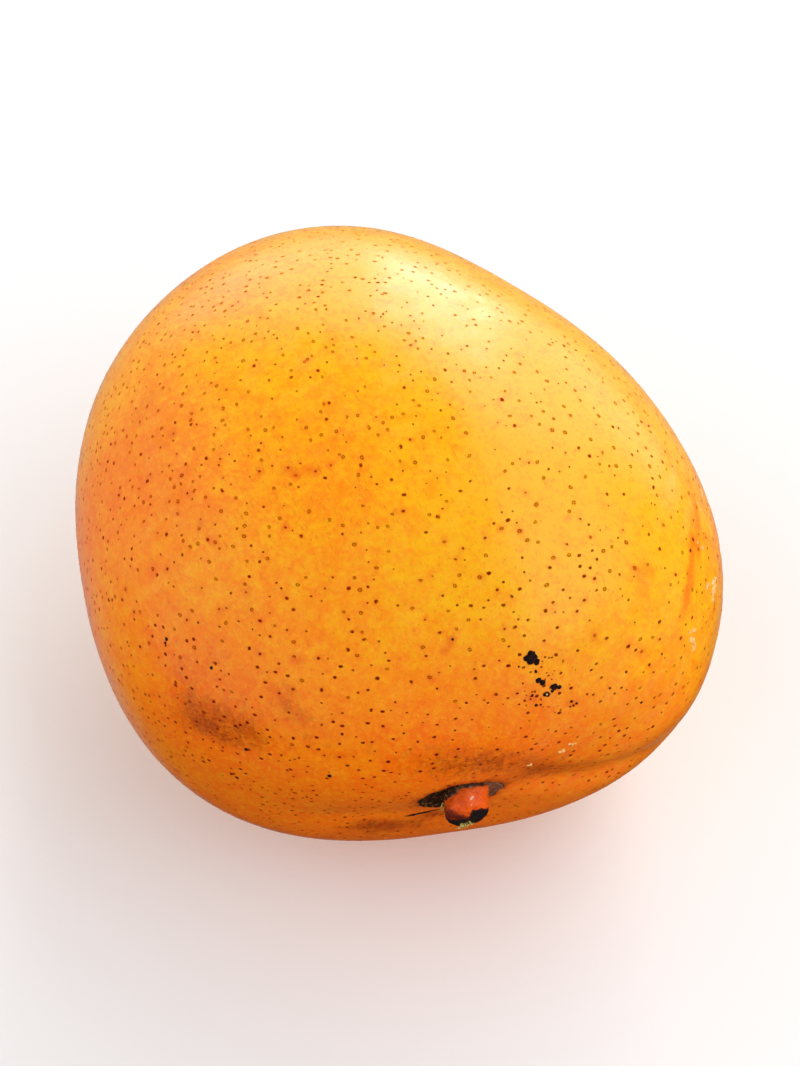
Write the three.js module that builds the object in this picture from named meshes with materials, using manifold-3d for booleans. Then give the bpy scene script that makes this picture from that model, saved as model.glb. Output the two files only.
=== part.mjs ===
// A ripe mango as picked, lying on its flatter cheek with the stalk end towards -Y.
// The fruit is one body: a full egg shape with swells and hollows for its shoulders, its beak and
// the basin round the stalk. A short stub of the stalk stands in a socket there, inside a ring of
// dried cork. Millimetres, +Z up, the origin at the middle of the small flat spot that it rests on.
import * as THREE from "three";
import { mergeVertices } from "three/addons/utils/BufferGeometryUtils.js";
import Module from "manifold-3d";

// The egg shape under the swells: half sizes, and how full it is (2 is an ellipsoid).
const HALF_WIDTH = 46.0;
const HALF_LENGTH = 48.2;
const HALF_THICKNESS = 37.5;
const FULLNESS = 2.25;

// Where the middle of the egg shape sits, seen from the middle of the flat spot.
const CORE = new THREE.Vector3(0.7, 4.1, 37.2);

// Swells and hollows of the fruit, in degrees and millimetres. "around" turns in the lying plane
// from the stalk end towards the beak's side (+X), "above" lifts out of it. A swell spreads by
// spread[0] degrees along the named axis and by spread[1] degrees across it.
const SWELLS = [
  { name: "shoulder on the beak's side", around: 43, above: 2, along: "y", spread: [27, 34], rise: 7.2 },
  { name: "hollow below that shoulder", around: 133, above: 4, along: "y", spread: [24, 40], rise: -5.8 },
  { name: "beak", around: 180, above: 2, along: "x", spread: [20, 22], rise: 5.0 },
  { name: "shoulder on the back", around: -42, above: 0, along: "y", spread: [27, 34], rise: 2.9 },
  { name: "round of the back", around: -119, above: 2, along: "y", spread: [32, 38], rise: 0.6 },
  { name: "basin at the stalk", around: 0, above: -5, along: "x", spread: [32, 13], rise: -4.0 },
  { name: "brow over the stalk", around: -6, above: 8, along: "x", spread: [14, 9], rise: 2.0 },
  { name: "groove beside the stalk", around: 21, above: 5, along: "x", spread: [10, 4], rise: -1.2 },
  { name: "fold under that groove", around: 15, above: -4, along: "x", spread: [9, 4], rise: 0.8 },
  { name: "crease on the stalk's other side", around: -15, above: -5, along: "x", spread: [8, 2.5], rise: -0.5 },
];

// Where the stalk grows from, the recess round it, the ring of cork in that and the stalk's stub.
const STALK = { around: 1.4, above: 2 };
const RECESS_HALF_WIDTH = 6.1;
const RECESS_HALF_HEIGHT = 4.9;
const RECESS_OFF_CENTRE = 0.9;
const RECESS_DEPTH = 2.2;
const CORK_THICKNESS = 0.7;
const CORK_TOP = -0.5;
const STUB_RADIUS = 3.35;
const STUB_HEIGHT = 3.9;
const STUB_ROOT = 5.0;
const STUB_LEAN = { sideways: -12, down: 4 };
const GAP = 0.3;

const FRUIT_DETAIL = 17;
const CROWDING = 0.62;
const CROWDING_SPREAD = 38;
const STALK_SEGMENTS = 40;

const COLOURS = { skin: "#f59a1c", cork: "#2b1710", stub: "#d9501a" };

const degrees = THREE.MathUtils.degToRad;
const AXES = { x: new THREE.Vector3(1, 0, 0), y: new THREE.Vector3(0, 1, 0) };

// A unit direction from the middle of the fruit.
function towards({ around, above }) {
  const a = degrees(around);
  const up = degrees(above);
  return new THREE.Vector3(Math.sin(a) * Math.cos(up), -Math.cos(a) * Math.cos(up), Math.sin(up));
}

// A swell's own directions, worked out once: its middle, and the way along and across it.
function placeSwell(swell) {
  const middle = towards(swell);
  const lengthwise = AXES[swell.along].clone();
  lengthwise.addScaledVector(middle, -lengthwise.dot(middle)).normalize();
  const crosswise = new THREE.Vector3().crossVectors(middle, lengthwise);
  return { ...swell, middle, lengthwise, crosswise };
}

const PLACED_SWELLS = SWELLS.map(placeSwell);

// How much of a swell is left in a direction, from 1 at its middle to 0 far from it.
function shareOf({ middle, lengthwise, crosswise, spread }, direction) {
  const angle = direction.angleTo(middle);
  const along = direction.dot(lengthwise);
  const across = direction.dot(crosswise);
  const scale = angle / Math.max(Math.hypot(along, across), 1e-9);
  const u = (scale * along) / degrees(spread[0]);
  const v = (scale * across) / degrees(spread[1]);
  return Math.exp(-0.5 * (u * u + v * v));
}

// The distance from the middle of the fruit to its skin in a direction.
function reach(direction) {
  const egg =
    (Math.abs(direction.x / HALF_WIDTH) ** FULLNESS +
      Math.abs(direction.y / HALF_LENGTH) ** FULLNESS +
      Math.abs(direction.z / HALF_THICKNESS) ** FULLNESS) **
    (-1 / FULLNESS);
  return PLACED_SWELLS.reduce((sum, swell) => sum + swell.rise * shareOf(swell, direction), egg);
}

function skinPoint(direction) {
  return direction.clone().multiplyScalar(reach(direction)).add(CORE);
}

// The way the skin faces in a direction, from two points either side of it each way.
function skinNormal({ around, above }) {
  const step = 0.5;
  const at = (turn, lift) => skinPoint(towards({ around: around + turn, above: above + lift }));
  const sideways = at(step, 0).sub(at(-step, 0));
  const upwards = at(0, step).sub(at(0, -step));
  return sideways.cross(upwards).normalize();
}

// Pulls a direction towards the stalk, so that the mesh is finest where the shape is.
function crowdTowards(stalk, direction) {
  const angle = direction.angleTo(stalk);
  const nearness = Math.exp(-((angle / degrees(CROWDING_SPREAD)) ** 2));
  const turn = new THREE.Vector3().crossVectors(direction, stalk);
  if (turn.lengthSq() < 1e-12) return direction;
  return direction.clone().applyAxisAngle(turn.normalize(), angle * CROWDING * nearness);
}

// Geometry with its shared vertices merged, as the boolean needs it.
function welded(geometry) {
  const bare = geometry.clone();
  bare.deleteAttribute("normal");
  bare.deleteAttribute("uv");
  return mergeVertices(bare, 1e-4);
}

// Moves every vertex of a geometry to where a rule puts it.
function reshaped(geometry, rule) {
  const position = geometry.getAttribute("position");
  const point = new THREE.Vector3();
  for (let i = 0; i < position.count; i++) {
    const moved = rule(point.fromBufferAttribute(position, i));
    position.setXYZ(i, moved.x, moved.y, moved.z);
  }
  geometry.computeVertexNormals();
  return geometry;
}

const wasm = await Module();
wasm.setup();

function toSolid(geometry) {
  const merged = welded(geometry);
  return new wasm.Manifold(
    new wasm.Mesh({
      numProp: 3,
      vertProperties: new Float32Array(merged.getAttribute("position").array),
      triVerts: new Uint32Array(merged.index.array),
    }),
  );
}

function toGeometry(solid) {
  const { vertProperties, triVerts } = solid.getMesh();
  const geometry = new THREE.BufferGeometry();
  geometry.setAttribute("position", new THREE.BufferAttribute(new Float32Array(vertProperties), 3));
  geometry.setIndex(new THREE.BufferAttribute(new Uint32Array(triVerts), 1));
  geometry.computeVertexNormals();
  return geometry;
}

// The frame at the stalk: its own Y axis leaves the fruit, its X axis runs across the basin.
function stalkSeat() {
  const out = skinNormal(STALK);
  const seat = new THREE.Group();
  const across = AXES.x.clone().addScaledVector(out, -out.x).normalize();
  const down = new THREE.Vector3().crossVectors(across, out);
  seat.setRotationFromMatrix(new THREE.Matrix4().makeBasis(across, out, down));
  seat.position.copy(skinPoint(towards(STALK)));
  seat.updateMatrixWorld(true);
  return seat;
}

// How far the recess's uneven oval edge lies from the stub's axis. The stub stands off its middle.
function recessEdge(angle) {
  const wide = RECESS_HALF_HEIGHT * Math.cos(angle);
  const high = RECESS_HALF_WIDTH * Math.sin(angle);
  const oval = (RECESS_HALF_WIDTH * RECESS_HALF_HEIGHT) / Math.hypot(wide, high);
  const uneven = 1 + 0.03 * Math.sin(3 * angle + 0.6) + 0.02 * Math.sin(7 * angle + 2.1);
  return oval * uneven - RECESS_OFF_CENTRE * Math.cos(angle);
}

// A turned shape round the stub. In its profile, 0 to 1 is from the axis to the inner radius, and
// 1 to 2 is from there to the recess's edge, less an inset.
function turnedInRecess(profile, inner, inset) {
  const points = profile.map(([step, height]) => new THREE.Vector2(step, height));
  return reshaped(new THREE.LatheGeometry(points, STALK_SEGMENTS), (p) => {
    const step = Math.hypot(p.x, p.z);
    if (step < 1e-9) return p;
    const edge = recessEdge(Math.atan2(p.z, p.x)) - inset;
    const radius = step <= 1 ? step * inner : THREE.MathUtils.lerp(inner, edge, step - 1);
    return new THREE.Vector3((p.x / step) * radius, p.y, (p.z / step) * radius);
  });
}

// What is cut from the fruit for the recess: a dish, open upwards.
function recessGeometry() {
  const lid = RECESS_DEPTH + 2;
  const profile = [
    [0, -RECESS_DEPTH],
    [1, -RECESS_DEPTH],
    [1.5, -0.92 * RECESS_DEPTH],
    [1.85, -0.55 * RECESS_DEPTH],
    [2, 0],
    [2.2, lid],
    [0, lid],
  ];
  return turnedInRecess(profile, STUB_RADIUS + GAP, 0);
}

// The dried ring that lines the recess round the stub.
function corkGeometry() {
  const floor = -RECESS_DEPTH + GAP;
  const face = floor + CORK_THICKNESS;
  const profile = [
    [1, floor],
    [1.5, 0.92 * floor],
    [1.8, 0.63 * floor],
    [1.93, CORK_TOP],
    [1.6, CORK_TOP - 0.1],
    [1.4, 0.85 * face],
    [1, face],
    [1, floor],
  ];
  return turnedInRecess(profile, STUB_RADIUS + GAP, GAP);
}

// The stub: a stalk a little swollen in the middle, snapped off unevenly.
function stubGeometry() {
  const profile = [
    [0, -STUB_ROOT],
    [0.8, -STUB_ROOT],
    [0.92, 0.8 - STUB_ROOT],
    [0.94, -RECESS_DEPTH],
    [0.98, 0],
    [1, 0.35 * STUB_HEIGHT],
    [0.97, 0.65 * STUB_HEIGHT],
    [0.82, 0.88 * STUB_HEIGHT],
    [0.55, STUB_HEIGHT],
    [0.28, 0.93 * STUB_HEIGHT],
    [0, 0.97 * STUB_HEIGHT],
  ];
  const points = profile.map(([share, height]) => new THREE.Vector2(share * STUB_RADIUS, height));
  return reshaped(new THREE.LatheGeometry(points, STALK_SEGMENTS), (p) => {
    const angle = Math.atan2(p.z, p.x);
    const outwards = Math.hypot(p.x, p.z) / STUB_RADIUS;
    const height = THREE.MathUtils.clamp(p.y / STUB_HEIGHT, 0, 1);
    const swell = 1 + height * (0.04 * Math.sin(2 * angle + 0.4) + 0.03 * Math.sin(5 * angle));
    const lean = Math.max(p.y, 0);
    return new THREE.Vector3(
      p.x * swell + lean * Math.tan(degrees(STUB_LEAN.sideways)),
      p.y * (1 + 0.08 * height * outwards * Math.sin(3 * angle + 1)),
      p.z * swell + lean * Math.tan(degrees(STUB_LEAN.down)),
    );
  });
}

// The hole in the fruit that the root of the stub stands in.
function socketGeometry() {
  const radius = STUB_RADIUS + GAP;
  const height = STUB_ROOT + GAP;
  const socket = new THREE.CylinderGeometry(radius, radius, height, STALK_SEGMENTS);
  return socket.translate(0, -height / 2, 0);
}

// A slab under the floor, which cuts the flat spot.
function floorGeometry() {
  const depth = 20;
  const side = 4 * HALF_LENGTH;
  return new THREE.BoxGeometry(side, side, depth).translate(0, 0, -depth / 2);
}

function fruitGeometry(seat) {
  const stalk = towards(STALK);
  const ball = welded(new THREE.IcosahedronGeometry(1, FRUIT_DETAIL));
  const body = reshaped(ball, (p) => skinPoint(crowdTowards(stalk, p.clone().normalize())));
  const inFruit = (geometry) => toSolid(geometry.applyMatrix4(seat.matrixWorld));
  const cut = toSolid(body)
    .subtract(inFruit(recessGeometry()))
    .subtract(inFruit(socketGeometry()))
    .subtract(toSolid(floorGeometry()));
  return toGeometry(cut);
}

function named(name, geometry, colour, roughness) {
  const material = new THREE.MeshStandardMaterial({ color: colour, roughness, metalness: 0 });
  const mesh = new THREE.Mesh(geometry, material);
  mesh.name = name;
  return mesh;
}

const seat = stalkSeat();
const mango = new THREE.Group();
mango.add(named("fruit", fruitGeometry(seat), COLOURS.skin, 0.4));
seat.add(named("cork_ring", corkGeometry(), COLOURS.cork, 0.9));
seat.add(named("stalk_stub", stubGeometry(), COLOURS.stub, 0.5));
mango.add(seat);

export default mango;
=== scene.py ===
"""A ripe mango lying on its flatter cheek: mottled skin with lenticels, scabs and dried sap, and the
snapped stub of its stalk in a ring of cork.

Sizes are in millimetres until a mesh is made, and directions are in degrees."""

import math

import bmesh
import bpy
import numpy as np
from bpy.props import FloatProperty, FloatVectorProperty, IntProperty, PointerProperty
from mathutils import Matrix, Vector, noise


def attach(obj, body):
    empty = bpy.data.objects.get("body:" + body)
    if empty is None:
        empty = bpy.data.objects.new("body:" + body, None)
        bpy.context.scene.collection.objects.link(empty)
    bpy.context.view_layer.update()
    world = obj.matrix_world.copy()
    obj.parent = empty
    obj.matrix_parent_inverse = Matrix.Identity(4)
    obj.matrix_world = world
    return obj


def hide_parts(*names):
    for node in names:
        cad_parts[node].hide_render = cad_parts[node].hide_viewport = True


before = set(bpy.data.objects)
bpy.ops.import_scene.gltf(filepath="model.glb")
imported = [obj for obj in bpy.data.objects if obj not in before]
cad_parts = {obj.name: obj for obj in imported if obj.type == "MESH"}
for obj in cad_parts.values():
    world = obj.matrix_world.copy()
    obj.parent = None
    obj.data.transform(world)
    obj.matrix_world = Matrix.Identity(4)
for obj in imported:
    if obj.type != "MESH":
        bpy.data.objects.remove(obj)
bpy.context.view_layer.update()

bl_info = {
    "name": "Ripe Mango",
    "version": (1, 0, 0),
    "blender": (4, 5, 0),
    "location": "View3D > Sidebar > Mango",
    "description": "Builds a ripe mango with its skin markings and its stalk stub on a pale studio floor",
    "category": "Add Mesh",
}

MM = 0.001
AXES = {"x": np.array([1.0, 0.0, 0.0]), "y": np.array([0.0, 1.0, 0.0])}

# The fruit's shape, as in the solids: an egg shape, and the swells and hollows on it
HALF_SIZES = np.array([46.0, 48.2, 37.5])
FULLNESS = 2.25
CORE = np.array([0.7, 4.1, 37.2])
SWELLS = [
    # around, above, along, spread along and across, rise
    (43, 2, "y", (27, 34), 7.2),
    (133, 4, "y", (24, 40), -5.8),
    (180, 2, "x", (20, 22), 5.0),
    (-42, 0, "y", (27, 34), 2.9),
    (-119, 2, "y", (32, 38), 0.6),
    (0, -5, "x", (32, 13), -4.0),
    (-6, 8, "x", (14, 9), 2.0),
    (21, 5, "x", (10, 4), -1.2),
    (15, -4, "x", (9, 4), 0.8),
    (-15, -5, "x", (8, 2.5), -0.5),
]

# The fold right of the recess, in columns as above: the solids' valley is filled, and a narrower one is cut
# along a line that falls to the right
FOLD = [
    (24, 4.5, "x", (10, 3.4), 1.1),
    (36, 3, "x", (8, 4), 0.8),
    (40, -3, "x", (7, 4), 0.4),
    (15, -4, "x", (9, 4), -0.5),
    (11, 5, "x", (4, 2.6), -0.35),
    (14.5, 0.5, "x", (4, 2.4), -0.8),
    (19.5, -2.4, "x", (4, 2.4), -0.9),
    (25, -5.4, "x", (4, 2.4), -0.9),
    (30.5, -7, "x", (4, 2.4), -0.6),
]

# The stalk's seat, its recess and the stub, as in the solids
STALK = (1.4, 2)
RECESS_HALF_WIDTH = 6.1
RECESS_HALF_HEIGHT = 4.9
RECESS_OFF_CENTRE = 0.9
RECESS_DEPTH = 2.2
STUB_RADIUS = 3.35
STUB_LEAN = -12

# How strongly the skin's mesh is pulled towards the stalk, and how far round the pull reaches
CROWDING = 0.62
CROWDING_SPREAD = 38

# Patches of colour on the skin: around, above, along, spread along and across, strength. The broad patches
# low on the fruit are partly real blush and partly painted shade for its darker underside
BLUSH_AND_SHADE = [
    (-6, -24, "x", (67, 28), 1.08),
    (-41.5, 20, "y", (11, 10), 0.5),
    (-81, 40, "y", (23, 14), 0.5),
    (2, 15, "x", (17, 12), 0.55),
    (-29, 59, "x", (12, 23), 0.36),
    (-147, 46, "x", (10, 8), 0.25),
    (53, -22, "x", (14, 40), -0.4),
    (36, 4, "x", (9, 9), 0.3),
    (16, 33, "x", (9, 7), 0.12),
    (22, 15, "x", (10, 7), 0.14),
    (-88, 8, "y", (10, 28), 0.3),
    (165, -35, "x", (50, 26), 0.6),
    (-160, 5, "x", (18, 22), 0.3),
]
RUST = [
    (-29.7, 25.8, "y", (2.4, 1.6), 0.3),
    (-27.9, 23.3, "y", (1.6, 1.2), 0.25),
    (-23.4, 21, "x", (4, 2.5), 0.4),
    (-28.2, 31.7, "x", (1.3, 1), 0.5),
    (-41, 38, "x", (2.5, 2), 0.35),
    (-92, 64.5, "x", (1.4, 1.2), 0.5),
    (-68, 64, "x", (1.3, 0.8), 0.55),
    (-77, 63, "x", (1.2, 1), 0.4),
    (-45, 62.6, "x", (1.3, 1.2), 0.36),
    (-54, 60, "x", (2, 1.2), 0.3),
    (-106, 40.7, "y", (3.2, 2.5), 0.5),
    (-101, 37, "y", (2.5, 2), 0.35),
    (-91, 44, "y", (3, 2), 0.45),
    (-103, 50, "y", (2.6, 2), 0.35),
    (29, 26, "x", (6, 4), 0.3),
    (41, 30, "y", (3, 2), 0.45),
    (1.4, 35.2, "x", (0.9, 0.7), 0.8),
    (-0.3, 33.6, "x", (0.8, 0.6), 0.75),
    (13.1, 23.2, "x", (1.0, 0.8), 0.7),
    (19.2, 19.8, "x", (1.2, 0.8), 0.7),
    (15.3, 24.5, "y", (3, 1.6), 0.22),
    (61, 24, "y", (7, 0.9), 0.65),
    (52, 24, "y", (6, 0.8), 0.6),
    (45, 21, "y", (4, 0.8), 0.5),
    (160, 30, "x", (5, 4), 0.35),
    (-150, 25, "y", (5, 3), 0.4),
    (120, 5, "y", (6, 4), 0.35),
]
# Brown: real blotches on the left and far side, and painted shade along the fold right of the recess, above
# the recess and low at the front; columns as above
BRONZE_AND_SHADE = [
    (-38.2, 14.2, "x", (3, 1.5), 0.38),
    (-34.6, 17.6, "y", (3, 1.8), 0.36),
    (-41, 16.5, "x", (3, 2), 0.24),
    (-44.5, 14, "x", (3, 1.6), 0.2),
    (-46.5, 19, "y", (3, 1.6), 0.16),
    (-38, 19, "x", (9, 6), 0.22),
    (-45, 17, "x", (5, 3.5), 0.24),
    (-48.8, 12.6, "x", (4, 3), 0.16),
    (-46, 25.2, "x", (5, 3), 0.2),
    (-29.5, 25.5, "y", (4, 1.8), 0.3),
    (-24, 19, "x", (8, 6), 0.12),
    (-18, 20, "x", (6, 4), 0.1),
    (-15, -10.5, "x", (4, 2), 0.5),
    (-9.5, -12, "x", (5, 3), 0.36),
    (-12, -17, "x", (11, 5), 0.42),
    (-3, -8, "x", (2.4, 2), 0.7),
    (-8, 16, "x", (6, 4), 0.16),
    (-2.5, 14.5, "x", (5, 3), 0.42),
    (3.5, 13, "x", (5, 3), 0.4),
    (8.5, 11, "x", (4, 3), 0.4),
    (14, 7, "x", (4, 3), 0.4),
    (14, 3, "x", (4, 2.6), 0.5),
    (19.5, 0.4, "x", (4, 2.4), 0.5),
    (24.5, -3, "x", (4, 2.2), 0.4),
    (31, -4.5, "x", (2.4, 1.6), 0.5),
    (31.8, 7.7, "x", (2, 1), 0.3),
    (150, 10, "x", (6, 4), 0.4),
    (-160, -8, "x", (5, 4), 0.45),
    (95, -15, "y", (4, 5), 0.4),
]

# Scabs: around, above, radius, height, how hollow the middle is
SCABS = [
    (14.7, 29.3, 0.95, 0.3, 0.0),
    (15.5, 28.5, 0.5, 0.2, 0.0),
    (14.9, 27.0, 0.24, 0.06, 0.0),
    (14.9, 25.5, 0.42, 0.12, 0.0),
    (15.4, 24.9, 0.44, 0.14, 0.0),
    (17.1, 23.6, 0.56, 0.2, 0.0),
    (17.9, 23.2, 0.36, 0.12, 0.0),
    (16.6, 23.0, 0.26, 0.08, 0.0),
    (15.6, 22.8, 0.5, 0.16, 0.9),
    (12.3, 28.6, 0.16, 0.04, 0.0),
    (13.2, 23.4, 0.2, 0.04, 0.0),
    (12.8, 22.9, 0.16, 0.04, 0.0),
    (13.8, 23.9, 0.16, 0.04, 0.0),
    (13.4, 21.6, 0.2, 0.04, 0.0),
    (14.2, 21.4, 0.18, 0.04, 0.0),
    (19.2, 20.0, 0.24, 0.06, 0.0),
    (19.9, 19.3, 0.22, 0.06, 0.0),
    (18.8, 19.2, 0.16, 0.04, 0.0),
    (30.6, 12.8, 0.26, 0.05, 0.0),
    (1.6, 35.3, 0.2, 0.05, 0.0),
    (-54.3, 24.9, 0.3, 0.05, 0.0),
    (-54.2, 24.2, 0.24, 0.05, 0.0),
    (-43.8, 25.5, 0.26, 0.05, 0.0),
    (-36.6, 4.8, 0.36, 0.05, 0.0),
    (-37.5, 5.3, 0.24, 0.05, 0.0),
    (-21.0, 12.0, 0.34, 0.05, 0.0),
    (-34.8, 13.7, 0.3, 0.05, 0.0),
    (120, -12, 0.4, 0.08, 0.0),
    (-140, 14, 0.36, 0.08, 0.0),
]

# Dried sap: around, above, length up the fruit, width, flakes
SAP = [
    (53.4, 15.6, 0.8, 2.0, 26),
    (51.9, 18.0, 0.4, 0.5, 3),
    (43.3, 14.6, 2.4, 0.5, 16),
    (44.4, 16.2, 0.9, 0.4, 3),
    (69.0, 20.0, 0.8, 0.8, 4),
    (64.0, 22.4, 1.2, 0.5, 3),
    (56.5, 21.7, 2.0, 0.3, 3),
    (11.8, 8.5, 0.5, 1.4, 4),
    (16.8, 9.6, 0.6, 0.8, 4),
    (18.5, 11, 0.5, 0.6, 3),
]


def towards(around, above):
    """The unit direction, or directions, from the middle of the fruit."""
    around, above = np.radians(around), np.radians(above)
    flat = np.cos(above)
    return np.stack([np.sin(around) * flat, -np.cos(around) * flat, np.sin(above)], axis=-1)


def unit(vectors):
    return vectors / np.linalg.norm(vectors, axis=-1, keepdims=True)


def share(directions, around, above, along, spread):
    """How much of a swell or patch is left in each direction, from 1 at its middle to 0 far from it."""
    middle = towards(around, above)
    lengthwise = unit(AXES[along] - middle * (AXES[along] @ middle))
    crosswise = np.cross(middle, lengthwise)
    angle = np.arccos(np.clip(directions @ middle, -1, 1))
    x = directions @ lengthwise
    y = directions @ crosswise
    scale = angle / np.maximum(np.hypot(x, y), 1e-9)
    u = scale * x / math.radians(spread[0])
    v = scale * y / math.radians(spread[1])
    return np.exp(-0.5 * (u * u + v * v))


def patches(directions, table):
    """The summed strength of a table of patches in each direction."""
    return sum(row[4] * share(directions, *row[:4]) for row in table)


def reach(directions):
    """The distance from the middle of the fruit to its smooth skin."""
    egg = (np.abs(directions / HALF_SIZES) ** FULLNESS).sum(axis=-1) ** (-1 / FULLNESS)
    return egg + patches(directions, SWELLS)


def skin_points(directions):
    return directions * reach(directions)[..., None] + CORE


def tangents(directions):
    """Two unit directions square to each given one and to each other."""
    steep = np.abs(directions[..., 2:3]) > 0.9
    helper = np.where(steep, AXES["x"], np.array([0.0, 0.0, 1.0]))
    first = unit(np.cross(directions, helper))
    return first, np.cross(directions, first)


def skin_normals(directions):
    """The way the smooth skin faces, from two points either side each way."""
    step = 0.008
    first, second = tangents(directions)
    across = skin_points(unit(directions + step * first)) - skin_points(unit(directions - step * first))
    along = skin_points(unit(directions + step * second)) - skin_points(unit(directions - step * second))
    normals = unit(np.cross(across, along))
    inward = (normals * directions).sum(axis=-1, keepdims=True) < 0
    return np.where(inward, -normals, normals)


def stalk_seat():
    """The stalk's seat: its middle, and the directions across the recess, out of the fruit and down."""
    direction = towards(*STALK)[None]
    out = skin_normals(direction)[0]
    across = unit(AXES["x"] - out * out[0])
    return skin_points(direction)[0], across, out, np.cross(across, out)


SEAT = stalk_seat()


def from_seat(points):
    """Points given across, out and down at the seat, in the fruit's own place."""
    middle, across, out, down = SEAT
    return middle + points[..., 0:1] * across + points[..., 1:2] * out + points[..., 2:3] * down


def in_seat(points):
    """Points across, out and down at the seat."""
    middle, across, out, down = SEAT
    away = points - middle
    return np.stack([away @ across, away @ out, away @ down], axis=-1)


def recess_edge(angle):
    """How far the recess's uneven oval edge lies from the stub's axis."""
    wide = RECESS_HALF_HEIGHT * np.cos(angle)
    high = RECESS_HALF_WIDTH * np.sin(angle)
    oval = RECESS_HALF_WIDTH * RECESS_HALF_HEIGHT / np.hypot(wide, high)
    uneven = 1 + 0.03 * np.sin(3 * angle + 0.6) + 0.02 * np.sin(7 * angle + 2.1)
    uneven = uneven + 0.02 * np.sin(12 * angle + 0.4)
    return oval * uneven - RECESS_OFF_CENTRE * np.cos(angle)


def way_to_edge(local):
    """How far points at the seat lie from the stub's axis, as a share of the way to the recess's edge."""
    edge = recess_edge(np.arctan2(local[:, 2], local[:, 0]))
    return np.hypot(local[:, 0], local[:, 2]) / edge


def smooth_step(value, start, full):
    """0 below start and 1 above full, with a smooth turn between."""
    t = np.clip((value - start) / (full - start), 0, 1)
    return t * t * (3 - 2 * t)


def wander(points, width, seed, octaves=2):
    """Smooth noise from about -1 to 1 whose lumps are about a width across."""
    shift = Vector((seed * 7.31, seed * 3.17, seed * 5.93))
    scale = 1 / width
    return np.array([noise.fractal(Vector(p) * scale + shift, 1.0, 2.0, octaves) for p in points.tolist()])


def relief(points):
    """How far the real skin stands off the smooth one: broad dents and fine lumps."""
    return 0.07 * wander(points, 13, 1) + 0.012 * wander(points, 3.6, 2)


def pressed_folds(directions):
    """The fold that falls from the recess, and shallow folds along the right flank, where it was pressed."""
    fold = patches(directions, FOLD)
    inside = share(directions, 58, 20, "y", (13, 13))
    around = np.degrees(np.arctan2(directions[:, 0], -directions[:, 1]))
    above = np.degrees(np.arcsin(np.clip(directions[:, 2], -1, 1)))
    spacing = 5.2
    sway = 0.8 * np.sin(math.radians(1) * 11 * around)
    wave = np.sin(math.tau * (above - 17 + 0.12 * around) / spacing + sway)
    return fold - 0.1 * inside * np.clip(wave, -0.2, 1)


def set_into_recess(points):
    """Points of the skin, with those inside the recess pressed down to its floor."""
    local = in_seat(points)
    part = way_to_edge(local)
    near = (part < 1) & (local[:, 1] > -2 * RECESS_DEPTH)
    floor = -RECESS_DEPTH * (1 - smooth_step(part, 0.62, 1.02) ** 1.5)
    local[:, 1] = np.where(near, np.minimum(local[:, 1], floor), local[:, 1])
    return from_seat(local)


def geodesic(frequency):
    """Unit directions and triangles of a ball whose 20 faces are each split frequency times a side."""
    ball = bmesh.new()
    bmesh.ops.create_icosphere(ball, subdivisions=1, radius=1.0)
    corners = np.array([v.co[:] for v in ball.verts])
    faces = np.array([[v.index for v in f.verts] for f in ball.faces])
    ball.free()
    steps = [(i, j) for i in range(frequency + 1) for j in range(frequency + 1 - i)]
    index = {step: n for n, step in enumerate(steps)}
    weights = np.array([(frequency - i - j, i, j) for i, j in steps]) / frequency
    cells = []
    for i, j in steps:
        if i + j < frequency:
            cells.append((index[i, j], index[i + 1, j], index[i, j + 1]))
        if i + j < frequency - 1:
            cells.append((index[i + 1, j], index[i + 1, j + 1], index[i, j + 1]))
    cells = np.array(cells)
    points = np.concatenate([weights @ corners[face] for face in faces])
    triangles = np.concatenate([cells + n * len(steps) for n in range(len(faces))])
    places, inverse = np.unique(np.round(unit(points), 6), axis=0, return_inverse=True)
    return unit(places), inverse.reshape(-1)[triangles]


def crowded(directions):
    """Directions pulled towards the stalk, so that the mesh is finest there."""
    stalk = towards(*STALK)
    angle = np.arccos(np.clip(directions @ stalk, -1, 1))
    turn = angle * CROWDING * np.exp(-((angle / math.radians(CROWDING_SPREAD)) ** 2))
    side = stalk - directions * (directions @ stalk)[:, None]
    side /= np.maximum(np.linalg.norm(side, axis=1, keepdims=True), 1e-9)
    return unit(directions * np.cos(turn)[:, None] + side * np.sin(turn)[:, None])


def ring_faces(rows, sides, first=0):
    """Triangles of a grid of closed rings, whose points are numbered on from the first."""
    faces = []
    for k in range(rows - 1):
        low = first + k * sides
        high = low + sides
        for j in range(sides):
            after = (j + 1) % sides
            faces.append((low + j, high + j, high + after))
            faces.append((low + j, high + after, low + after))
    return faces


def disc_faces(rings, sides, count):
    """Triangles of a count of alike discs, each a middle point with closed rings round it."""
    middle = [(0, 1 + j, 1 + (j + 1) % sides) for j in range(sides)]
    disc = np.array(middle + ring_faces(rings, sides, 1))
    return np.concatenate([disc + n * (1 + rings * sides) for n in range(count)])


def placed(name, data):
    """A new object in the scene."""
    made = bpy.data.objects.new(name, data)
    bpy.context.scene.collection.objects.link(made)
    return made


def mesh_object(name, points, faces, values=None):
    """A smooth mesh object from millimetre points, with named values stored at its points."""
    mesh = bpy.data.meshes.new(name)
    mesh.from_pydata((np.asarray(points) * MM).tolist(), [], np.asarray(faces).tolist())
    for label, numbers in (values or {}).items():
        layer = mesh.attributes.new(label, "FLOAT", "POINT")
        layer.data.foreach_set("value", np.asarray(numbers, dtype=np.float32))
    mesh.polygons.foreach_set("use_smooth", [True] * len(mesh.polygons))
    mesh.update()
    return placed(name, mesh)


def dress(piece, material, replaced=None):
    """Gives a piece its material and its place in the part's record."""
    piece.data.materials.append(material)
    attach(piece, "root")
    if replaced:
        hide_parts(replaced)


# Shader nodes


def set_inputs(tree, made, inputs):
    """Sets or links each named input of a node."""
    for label, value in inputs.items():
        if isinstance(value, bpy.types.NodeSocket):
            tree.links.new(value, made.inputs[label])
        else:
            made.inputs[label].default_value = value


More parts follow.
